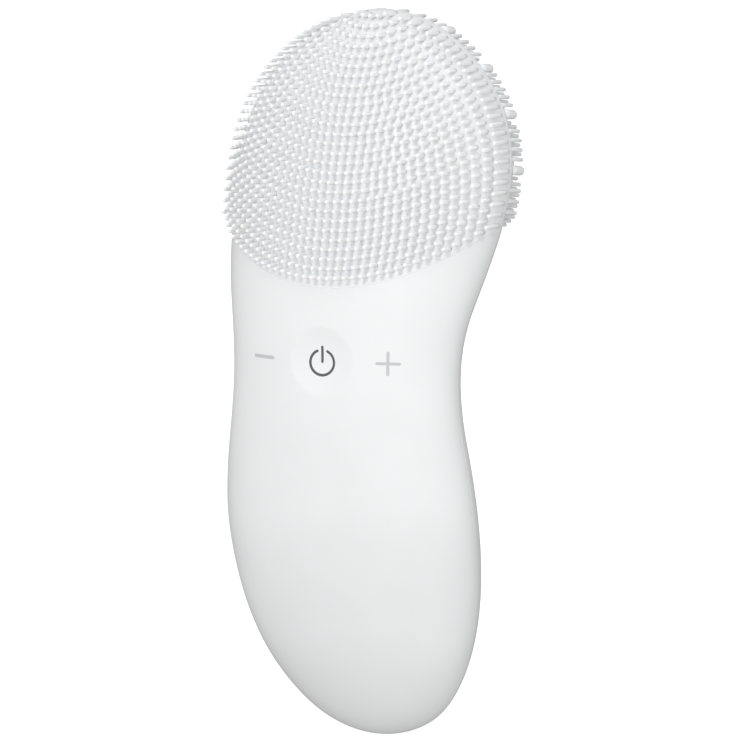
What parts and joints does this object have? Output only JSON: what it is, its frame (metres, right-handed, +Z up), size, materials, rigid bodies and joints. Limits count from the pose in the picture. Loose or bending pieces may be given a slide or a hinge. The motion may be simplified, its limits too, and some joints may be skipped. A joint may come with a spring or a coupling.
{
  "type": "facial cleansing brush",
  "caption": "Soft-skinned battery facial cleansing brush: round bristled head with a nubbed back, curved waisted grip, dished power button between minus and plus buttons.",
  "frame": {"origin": "middle of the overall box at its lowest point, the tip of the grip", "axes": "+Z up along the grip to the head, front with the bristles and buttons faces -Y, +X to the right seen from behind the front's own left, so the plus button is at +X"},
  "size_m": [0.057, 0.042, 0.14],
  "materials": {
    "skin": "satin moulded silicone",
    "bristles": "satin moulded silicone",
    "button_skin": "satin moulded silicone",
    "hard_plastic": "matte",
    "dark_rubber": "matte",
    "dark_plastic": "matte",
    "clear_plastic": "clear",
    "board": "solder resist",
    "steel": "satin",
    "foam": "open cell",
    "foil": "foil wrap",
    "gold_contact": "gold plated"
  },
  "bodies": {
    "body": {"front_brush_pad": "bristles", "rear_massage_pad": "bristles", "front_shell": "skin", "rear_shell": "skin", "front_bristle_field": "bristles", "rear_nub_field": "bristles", "front_frame": "hard_plastic", "rear_frame": "hard_plastic", "rim_gasket": "dark_rubber", "chassis_plate": "hard_plastic", "head_carrier": "hard_plastic", "circuit_board": "board", "power_switch": "dark_plastic", "minus_switch": "dark_plastic", "plus_switch": "dark_plastic", "status_led": "clear_plastic", "board_screw_1": "steel", "board_screw_2": "steel", "board_screw_3": "steel", "board_screw_4": "steel", "battery_foam": "foam", "battery_cell": "foil", "motor_can": "steel", "motor_damper": "dark_rubber", "motor_bracket": "hard_plastic", "charging_plate": "dark_plastic", "charging_pin_left": "gold_contact", "charging_pin_right": "gold_contact"},
    "power_cap": {"power_button": "button_skin"},
    "minus_cap": {"minus_button": "button_skin"},
    "plus_cap": {"plus_button": "button_skin"},
    "rotor": {"motor_shaft": "steel", "eccentric_weight": "steel"}
  },
  "joints": [
    {"name": "power_press", "type": "slide", "parent": "body", "child": "power_cap", "axis": [0, 1, 0], "range_m": [0, 0.0005], "stiffness_N_per_m": 1800},
    {"name": "minus_press", "type": "slide", "parent": "body", "child": "minus_cap", "axis": [0.2969, 0.9549, 0], "range_m": [0, 0.0004], "stiffness_N_per_m": 1500},
    {"name": "plus_press", "type": "slide", "parent": "body", "child": "plus_cap", "axis": [-0.2969, 0.9549, 0], "range_m": [0, 0.0004], "stiffness_N_per_m": 1500},
    {"name": "motor_spin", "type": "hinge", "parent": "body", "child": "rotor", "pos_m": [0, 0.00019, 0.115], "axis": [0, 0, 1], "continuous": true}
  ]
}
